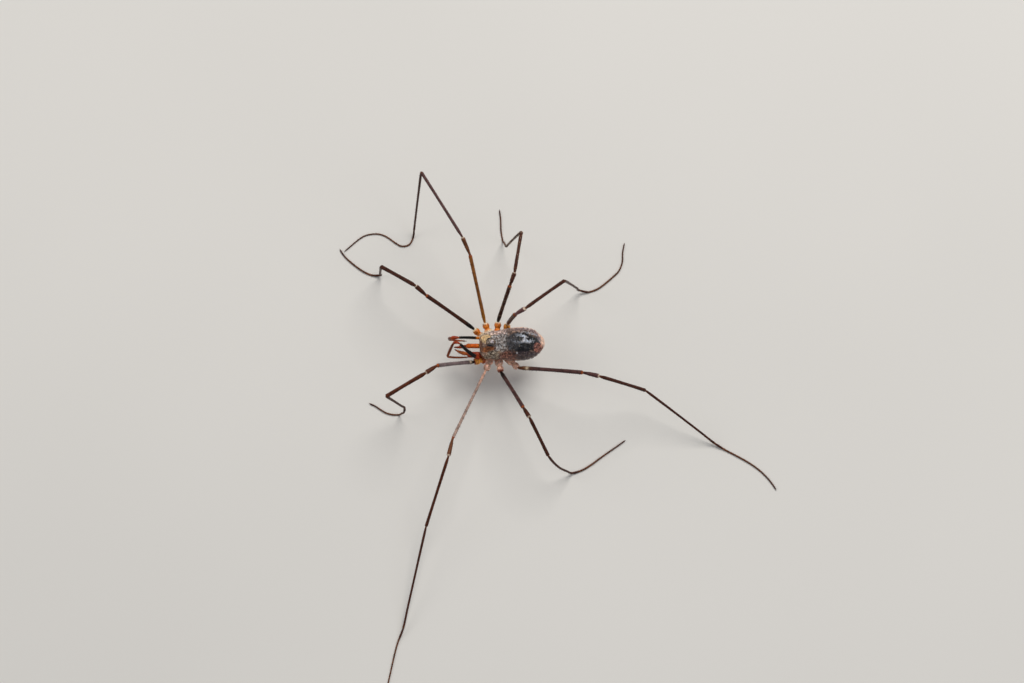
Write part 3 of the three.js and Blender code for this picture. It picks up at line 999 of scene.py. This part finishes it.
# Pose as in the solids: hip from the body's middle, then headings and slopes of femur, patella, tibia and
# metatarsus, the headings of the tarsus's equal stretches, and how many of them come down to the ground.
legs = {
    "right_1": {
        "hip": (-3.2, 1.35),
        "heading": (151, 141, 145, 121),
        "climb": (33, 21, -24.5, -84),
        "toes": (174, 157, 146, 141, 136, 124),
        "drop": 1,
        "femur": ("black", "dark"),
        "patella": "dark",
    },
    "right_2": {
        "hip": (-2.3, 1.9),
        "heading": (105, 115, 121, -105),
        "climb": (50, 24, -5, -70),
        "toes": (-101, -117, -168, 150, 144, 156, 178, -166, -146, -139, -138),
        "drop": 1,
        "femur": ("golden", "amber"),
        "patella": "brown",
        "lower": "plum",  # tone of its tibia
    },
    "right_3": {
        "hip": (-1.2, 2.0),
        "heading": (65, 70, 81, -174.5),
        "climb": (58, 10, -5, -74),
        "toes": (105, 106, 104, 99, 92, 96),
        "drop": 3,
        "femur": ("black", "dark"),
        "patella": "dark",
        "pale": 0.4,  # share of its spines that are pale
    },
    "right_4": {
        "hip": (-0.35, 1.85),
        "heading": (-50.5, 16, 42.5, 35.5),
        "climb": (81.5, 53, -30.5, -77),
        "toes": (-2, 20, 36, 41, 46, 69, 87, 80),
        "drop": 1,
        "femur": ("brown", "dark"),
        "patella": "purple",
    },
    "left_1": {
        "hip": (-3.2, -1.5),
        "heading": (-157, -144, -153, -1.5),
        "climb": (53, 13, -21, -72.5),
        "toes": (-105, 176, 168, 178, 165, 150, 146, 154),
        "drop": 3,
        "femur": ("black", "mauve"),
        "patella": "chestnut",
        "lower": "chestnut",
        "paintedHighlight": 0.14,  # where a painted highlight lies on the top of its femur
    },
    "left_2": {
        "hip": (-2.2, -2.2),
        "heading": (-113.5, -102, -110, -103),
        "climb": (18, 14, -34, -11.5),
        "toes": (-111, -104, -102, -102, -100, -96),
        "drop": 1,
        "femur": ("salmon", "tan"),
        "patella": "brown",
        "lower": "chestnut",
        "slim": 0.8,
    },
    "left_3": {
        "hip": (-0.95, -2.35),
        "heading": (-62, -61, -62, -17),
        "climb": (29, 22, -24, -62.5),
        "toes": (18, 31, 37, 36, 35, 36),
        "drop": 1,
        "femur": ("black", "plum"),
        "patella": "dark",
        "sway": (-0.1, -0.28, 0),  # sideways bow of its metatarsus
    },
    "left_4": {
        "hip": (0.5, -2.0),
        "heading": (-12, -16, -7, -33),
        "climb": (31, 14, -40, -24.5),
        "toes": (-30, -28, -30, -36, -45, -55),
        "drop": 1,
        "femur": ("brown", "plum"),
        "patella": "plum",
        "paintedHighlight": 0.16,
    },
}

# Radii of femur, patella, tibia, metatarsus and tarsus by pair.
legRadii = {
    1: (0.165, 0.195, 0.172, 0.105, 0.088),
    2: (0.150, 0.175, 0.130, 0.095, 0.075),
    3: (0.165, 0.190, 0.150, 0.100, 0.085),
    4: (0.170, 0.190, 0.150, 0.100, 0.085),
}
legShape = {
    "bows": (0.12, 0.05, 0.08, 0.12),  # how far femur, patella, tibia and metatarsus bow up
    "late": 0.82,  # share of the metatarsus at which half of its bow is left
    "flute": (5, 0.035),
    "settleFrom": 0.9,  # height below which a tarsus settles to the ground
    "leastStep": 0.45,  # least length from above of a tarsus's stretch, as a share of its length
    "article": 0.2,  # length of one joint of a tarsus
    "longArticle": 0.1,  # share of the tarsus taken by its first, long joint
    "longSwell": 0.16,
    "neck": 0.88,  # radius between two joints
    "swell": 0.20,
    "taper": 0.35,
    "tarsusSides": 10,
    "articleRings": 5,
}

legSpikes = {
    "femur": {"rows": 7, "spacing": 0.21, "length": 0.085, "radius": 0.017, "lean": 0.45, "from": 0.06,
              "until": 0.98, "tone": "black"},
    "patella": {"rows": 7, "spacing": 0.16, "length": 0.08, "radius": 0.016, "lean": 0.45, "from": 0.15,
                "until": 0.95, "tone": "black"},
    "tibia": {"rows": 7, "spacing": 0.2, "length": 0.085, "radius": 0.013, "lean": 0.5, "from": 0.05,
              "until": 0.98, "tone": "black"},
    "metatarsus": {"rows": 6, "spacing": 0.24, "length": 0.11, "radius": 0.009, "lean": 0.55, "from": 0.03,
                   "until": 0.98, "tone": "dark"},
    "tarsus": {"rows": 5, "spacing": 0.14, "length": 0.10, "radius": 0.008, "lean": 0.6, "from": 0.02,
               "until": 0.97, "tone": "dark"},
}


def legJoints(pose, lengths):
    points = [Vector((*pose["hip"], hipHeight))]
    for length, heading, climb in zip(lengths, pose["heading"], pose["climb"]):
        turn, tilt = math.radians(heading), math.radians(climb)
        flat = length * math.cos(tilt)
        step = Vector((flat * math.cos(turn), flat * math.sin(turn), length * math.sin(tilt)))
        points.append(points[-1] + step)
    return points


def tarsusPoints(start, pose, length):
    stretch = length / len(pose["toes"])
    points = [start]
    for i, heading in enumerate(pose["toes"]):
        turn = math.radians(heading)
        last = points[-1]
        left = max(0.0, 1 - (i + 1) / pose["drop"])
        height = footAxis + (start.z - footAxis) * left
        least = (legShape["leastStep"] * stretch) ** 2
        flat = math.sqrt(max(least, stretch**2 - (last.z - height) ** 2))
        points.append(Vector((last.x + flat * math.cos(turn), last.y + flat * math.sin(turn), height)))
    return points


# The tarsus settles from the solid's axis to its own, lower one, so that its underside lies on the ground.
def settle(points, radius):
    lowered = []
    start = legShape["settleFrom"]
    for point in points:
        rest = min(1.0, max(0.0, (start - point.z) / (start - footAxis)))
        lowered.append(Vector((point.x, point.y, point.z + (radius - footAxis) * rest)))
    return lowered


def bowed(start, end, bow):
    middle = start.lerp(end, 0.5)
    middle.z += bow
    return Route([start, middle, end])


# Each piece's radius along it, as shares of its full one.
legForms = {
    "femur": [(0, 0.45), (0.025, 0.75), (0.10, 1), (0.5, 0.92), (0.9, 1.02), (0.985, 1.05), (1, 0.6)],
    "patella": [(0, 0.55), (0.10, 0.62), (0.45, 0.88), (0.85, 1), (0.97, 0.95), (1, 0.5)],
    "tibia": [(0, 0.6), (0.03, 0.75), (0.10, 1), (0.6, 0.9), (0.93, 1), (0.985, 1.05), (1, 0.6)],
    "metatarsus": [(0, 0.7), (0.02, 1), (0.08, 1.12), (0.5, 0.95), (0.9, 0.9), (0.985, 1), (1, 0.85)],
}


# Colour bands of a leg's long pieces. The femur may have a painted highlight on top.
def legBands(pose):
    first, second = pose["femur"]
    knee = pose["patella"]
    lower = pose.get("lower", "dark")
    outer = [(0.25, second), (0.975, second), (0.985, "redBrown"), (1, "rust")]
    plain = bands((0, first), (0.12, first), *outer)

    def femur(share, upness):
        # painted highlight: a pale dab on the upper side of the femur
        paintedHighlight = math.exp(-(((share - pose.get("paintedHighlight", -1)) / 0.022) ** 2)) * max(0.0, upness)
        return mixTone(plain(share, upness), tones["cream"], 0.9 * paintedHighlight)

    return (
        femur,
        bands((0, "rust"), (0.03, "brown"), (0.12, knee), (0.93, knee), (0.965, "ring"), (1, "ring")),
        bands((0, "brown"), (0.025, lower), (0.97, lower), (1, "brown")),
        bands((0, "brown"), (0.03, "dark"), (0.95, "dark"), (1, "brown")),
    )


# Radius along a tarsus: one long joint, then short swollen ones, all of them tapering.
def tarsusForm(radius, articles):
    long = legShape["longArticle"]

    def radiusAt(share):
        if share < long:
            part = share / long
            swell = 1.0 + legShape["longSwell"] * math.sin(math.pi * part) ** 0.5
        else:
            part = ((share - long) / (1 - long) * articles) % 1.0
            wave = math.sin(math.pi * min(part * 1.25, 1.0))
            swell = legShape["neck"] + legShape["swell"] * wave**0.7 * (0.6 + 0.4 * part)
        return radius * swell * (1.0 - legShape["taper"] * share)

    return radiusAt


# Meshes and spikes of one leg, from its hip to its claw.
def legParts(leg, pose, draw):
    pair = int(leg[-1])
    joints = legJoints(pose, legLengths[pair])
    *radii, footRadius = legRadii[pair]
    radii[0] *= pose.get("slim", 1.0)
    foot = settle(tarsusPoints(joints[4], pose, tarsusLengths[pair]), footRadius)
    knee, ankle = joints[3], foot[0]
    bow, sway = legShape["bows"][3], Vector(pose.get("sway", (0, 0, 0)))
    middle = knee.lerp(ankle, 0.5) + up * bow + sway
    late = knee.lerp(ankle, legShape["late"]) + up * 0.5 * bow + sway * 0.5
    lower = Route([knee, middle, late, *foot])
    ankleShare = lower.shareOf(3)
    routes = [bowed(joints[i], joints[i + 1], legShape["bows"][i]) for i in range(3)]
    routes.append(lower.between(0, ankleShare))
    meshes = []
    spikes = []
    for (piece, form), route, radius, toneAt in zip(legForms.items(), routes, radii, legBands(pose)):
        shape = profile(form, radius)
        grid = limbGrids.get(piece, limbGrids["leg"])
        meshes.append(makeLimb(route, *grid, shape, toneAt, legShape["flute"]))
        spikes += limbSpikes(route, shape, legSpikes[piece], draw, pose.get("pale", 0.0))
    route = lower.between(ankleShare, 1)
    long = legShape["longArticle"]
    articles = int(route.length * (1 - long) / legShape["article"])
    shape = tarsusForm(footRadius, articles)
    toneAt = bands((0, "dark"), (long, "dark"), (long + 0.02, "brown"), (0.6, "brown"), (1, "dark"))
    rings, sides = articles * legShape["articleRings"], legShape["tarsusSides"]
    meshes.append(makeLimb(route, rings, sides, shape, toneAt, evenRings=True, lowest=0.0))
    spikes += limbSpikes(route, shape, legSpikes["tarsus"], draw)
    meshes.append(makeClaw("leg", route))
    return meshes, spikes


def makeLegs(materials):
    for leg, pose in legs.items():
        side, pair = leg.split("_")
        draw = random.Random(100 + 10 * int(pair) + (side == "left"))
        nodes = [f"leg_{leg}_{piece}" for piece in legSpikes]
        meshes, spikes = legParts(leg, pose, draw)
        finishPiece(f"leg{side.title()}{pair}", meshes, spikes, materials, nodes)
    print("legs made")


# Hips: the coxae of each side with their trochanters

hips = {
    # inner ends of the coxae: place of the first, spacing, how far out, the rows' middle, and height
    "first": -2.15,
    "spacing": 0.44,
    "apart": 0.5,
    "middle": -0.12,
    "height": 2.85,
    # radii, and the length of the trochanter
    "coxa": 0.35,
    "trochanter": 0.30,
    "trochanterLength": 0.6,
    # tones of coxa, trochanter and the trochanter's far end; the cream far ends on the right side are a
    # painted highlight
    "right_1": ("cream", "orange", "cream"),
    "right_2": ("cream", "orange", "cream"),
    "right_3": ("orange", "orange", "cream"),
    "right_4": ("orange", "yellow", "cream"),
    "left_1": ("rust", "yellow", "rust"),
    "left_2": ("salmon", "salmon", "salmon"),
    "left_3": ("salmon", "salmon", "redBrown"),
    "left_4": ("salmon", "salmon", "salmon"),
    "broad": {"right_2": 0.41},  # radii of coxae that are broader than the others
    "roots": {"left_1": (-2.3, -1.18, 3.05)},  # inner ends that differ from the regular rows
}
hipSpikes = {"rows": 9, "spacing": 0.2, "length": 0.07, "radius": 0.016, "lean": 0.35, "from": 0.4,
             "until": 0.97, "tone": "dark"}


def coxaEnds(leg):
    side, pair = leg.split("_")
    across = 1 if side == "right" else -1
    root = Vector((
        hips["first"] + hips["spacing"] * (int(pair) - 1),
        across * hips["apart"] + hips["middle"],
        hips["height"],
    ))
    return Vector(hips["roots"].get(leg, root)), Vector((*legs[leg]["hip"], hipHeight))


def makeHips(materials):
    for side in ("right", "left"):
        meshes = []
        spikes = []
        draw = random.Random(7 if side == "right" else 8)
        for pair in (1, 2, 3, 4):
            leg = f"{side}_{pair}"
            root, hip = coxaEnds(leg)
            route = Route([root, hip])
            neck = 1 - hips["trochanterLength"] / route.length
            c, t = hips["broad"].get(leg, hips["coxa"]), hips["trochanter"]
            coxa = [(0, 0.7 * c), (0.12, c), (neck - 0.12, 1.03 * c), (neck - 0.02, 0.72 * c)]
            outerHalf = [(neck + 0.03, 0.72 * t), (0.5 * neck + 0.5, t), (0.97, 0.85 * t), (1, 0.4 * t)]
            shape = profile(coxa + outerHalf)
            inner, outer, edge = (tones[name] for name in hips[leg])

            def toneAt(share, upness):
                base = mixTone(inner, outer, (share - neck + 0.08) / 0.1)
                # towards the far end: on the right side this cream is a painted highlight
                return mixTone(base, edge, (share - 0.9) / 0.06)

            meshes.append(makeLimb(route, *limbGrids["hip"], shape, toneAt))
            spikes += limbSpikes(route, shape, hipSpikes, draw)
        finishPiece(f"hips{side.title()}", meshes, spikes, materials, [f"hips_{side}"])
    print("hips made")


# Palps: joints of each, from the solids' routes

palps = {
    "right": {
        "femur": [(-2.75, 0.50, 3.6), (-3.75, 0.42, 4.2), (-4.51, 0.29, 4.75)],
        "patella": [(-4.51, 0.29, 4.75), (-4.82, 0.26, 4.82), (-5.10, 0.27, 4.68)],
        "tibia": [(-5.10, 0.27, 4.68), (-5.27, 0.34, 4.25), (-5.22, 0.36, 3.6)],
        "tarsus": [(-5.22, 0.36, 3.6), (-4.64, 0.44, 3.0), (-3.92, 0.50, 2.52)],
    },
    "left": {
        "femur": [(-2.78, -1.30, 3.7), (-3.75, -0.80, 4.45), (-4.40, -0.28, 5.0)],
        "patella": [(-4.40, -0.28, 5.0), (-4.68, -0.20, 5.02), (-4.93, -0.20, 4.86)],
        "tibia": [(-4.93, -0.20, 4.86), (-5.19, -0.57, 4.2), (-5.47, -1.07, 3.4)],
        "tarsus": [(-5.47, -1.07, 3.4), (-4.62, -0.98, 2.75), (-3.70, -0.83, 2.2)],
    },
}
palpRadii = {
    "right": {"femur": 0.11, "patella": 0.155, "tibia": 0.12, "tarsus": 0.07},
    "left": {"femur": 0.115, "patella": 0.12, "tibia": 0.115, "tarsus": 0.08},
}
palpThick = {"right": 1.1, "left": 1.45}  # how thick the inner half of the femur is beside the outer one
palpForms = {
    "patella": [(0, 0.5), (0.15, 0.75), (0.6, 1.05), (0.9, 1), (1, 0.5)],
    "tibia": [(0, 0.6), (0.12, 0.85), (0.5, 1.05), (0.92, 1), (1, 0.5)],
    "tarsus": [(0, 0.7), (0.08, 1.1), (0.5, 1), (0.85, 0.8), (1, 0.35)],
}
palpBands = {
    "patella": bands((0, "rust"), (0.2, "jawRed"), (0.8, "jawRed"), (1, "rust")),
    "tibia": bands((0, "rust"), (0.12, "redBrown"), (0.6, "redBrown"), (1, "rust")),
    "tarsus": bands((0, "rust"), (0.3, "redBrown"), (0.7, "rust"), (1, "brown")),
}
palpRoots = {"right": "orange", "left": "jawRed"}  # tones of the trochanters
palpFlute = (5, 0.02)
palpSpikes = {"rows": 7, "spacing": 0.15, "length": 0.09, "radius": 0.009, "lean": 0.45, "from": 0.08,
              "until": 0.97, "tone": "dark"}


def makePalps(materials):
    for side in ("right", "left"):
        draw = random.Random(21 if side == "right" else 22)
        thick, root = palpThick[side], palpRoots[side]
        femurForm = [(0, 0.8), (0.1, thick), (0.4, thick), (0.85, 1), (0.96, 1), (1, 0.5)]
        femurBands = bands((0, root), (0.15, root), (0.21, "black"), (0.95, "black"), (1, "brown"))
        meshes = []
        spikes = []
        for piece, points in palps[side].items():
            route = Route(points)
            shape = profile(palpForms.get(piece, femurForm), palpRadii[side][piece])
            toneAt = palpBands.get(piece, femurBands)
            meshes.append(makeLimb(route, *limbGrids["palp"], shape, toneAt, palpFlute))
            spikes += limbSpikes(route, shape, palpSpikes, draw)
        meshes.append(makeClaw("palp", route))
        nodes = [f"palp_{side}_{piece}" for piece in ("femur", "tibia", "tarsus")]
        finishPiece(f"palp{side.title()}", meshes, spikes, materials, nodes)
    print("palps made")


# Chelicerae: a swollen base, and a hand with two toothed fingers

chelicerae = {
    "right": {
        "base": [(-2.6, -0.16, 3.5), (-3.3, -0.15, 3.52), (-3.88, -0.13, 3.40)],
        "hand": [(-3.86, -0.13, 3.44), (-4.30, -0.14, 3.08), (-4.68, -0.12, 2.82)],
        "radii": (0.20, 0.115, 0.06),
        "tones": ("orange", "jawOrange", "jawOrange", "jawRed"),
    },
    "left": {
        "base": [(-2.6, -0.90, 3.45), (-3.22, -0.90, 3.45), (-3.76, -0.83, 3.32)],
        "hand": [(-3.74, -0.81, 3.36), (-4.26, -0.62, 3.0), (-4.66, -0.40, 2.74)],
        "radii": (0.26, 0.135, 0.065),
        "tones": ("jawRed", "jawRed", "jawRed", "rust"),
    },
}
jawForms = {
    "base": [(0, 0.8), (0.2, 1), (0.6, 0.95), (0.85, 1.05), (0.96, 0.9), (1, 0.5)],
    "hand": [(0, 0.6), (0.08, 1), (0.35, 1.2), (0.7, 1), (0.93, 0.7), (1, 0.5)],
    "finger": [(0, 1.05), (0.3, 0.95), (0.8, 0.55), (1, 0.12)],
}
fingers = {
    "start": 0.86,  # share of the hand at which they start
    "bows": ((0.07, 0.09), (-0.04, -0.02)),  # how high each starts, and how far it bows out
    "middle": 0.2,  # how far along the bow is, and the end
    "end": 0.42,
    "close": 0.4,  # share of start and bow that is left at the end
}
teeth = {"count": 6, "from": 0.3, "reach": 0.6, "sink": 0.8, "lean": 0.2, "length": 0.04, "radius": 0.012}
jawSpikes = {"rows": 9, "spacing": 0.17, "length": 0.10, "radius": 0.009, "lean": 0.4, "from": 0.12,
             "until": 0.92, "tone": "dark"}


def makeChelicerae(materials):
    for side, jaw in chelicerae.items():
        draw = random.Random(31 if side == "right" else 32)
        inner, rim, middle, hand = jaw["tones"]
        baseRoute, handRoute = Route(jaw["base"]), Route(jaw["hand"])
        shapes = [profile(form, radius) for form, radius in zip(jawForms.values(), jaw["radii"])]
        baseShape, handShape, shape = shapes
        baseBands = bands((0, inner), (0.18, inner), (0.3, rim), (0.6, middle), (0.92, middle), (1, "rust"))
        handBands = bands((0, "rust"), (0.1, hand), (1, hand))
        fingerBands = bands((0, hand), (0.5, "redBrown"), (0.75, "black"), (1, "black"))
        meshes = [
            makeLimb(baseRoute, *limbGrids["jawBase"], baseShape, baseBands),
            makeLimb(handRoute, *limbGrids["jawHand"], handShape, handBands),
        ]
        tip, along, _, over = handRoute.frame(fingers["start"])
        spikes = []
        for lift, spread in fingers["bows"]:
            close = fingers["close"]
            finger = Route([
                tip + over * lift,
                tip + over * (lift + spread) + along * fingers["middle"],
                tip + over * (close * lift + close * spread) + along * fingers["end"],
            ])
            meshes.append(makeLimb(finger, *limbGrids["finger"], shape, fingerBands))
            for k in range(teeth["count"]):
                share = teeth["from"] + teeth["reach"] * k / (teeth["count"] - 1)
                centre, fingerAlong, _, fingerOver = finger.frame(share)
                inward = fingerOver * (-1 if lift > 0 else 1)
                root = centre + inward * shape(share) * teeth["sink"]
                direction = inward + fingerAlong * teeth["lean"]
                length, radius = teeth["length"], teeth["radius"]
                spikes.append((root, direction, length, radius, Vector((0, 0, 0)), tones["black"]))
        spikes += limbSpikes(baseRoute, baseShape, jawSpikes, draw)
        spikes += limbSpikes(handRoute, handShape, jawSpikes, draw)
        nodes = [f"chelicera_{side}_base", f"chelicera_{side}_hand"]
        finishPiece(f"chelicera{side.title()}", meshes, spikes, materials, nodes)
    print("chelicerae made")


makeCamera()
makeStudio()
legHide, hipHide, jawHide, spineHide = (toneMaterial(name) for name in hides)
makeBody([backMaterial(), spineHide])
makeEyes([eyeMaterial()])
makeHips([hipHide, spineHide])
makePalps([jawHide, spineHide])
makeChelicerae([jawHide, spineHide])
makeLegs([legHide, spineHide])
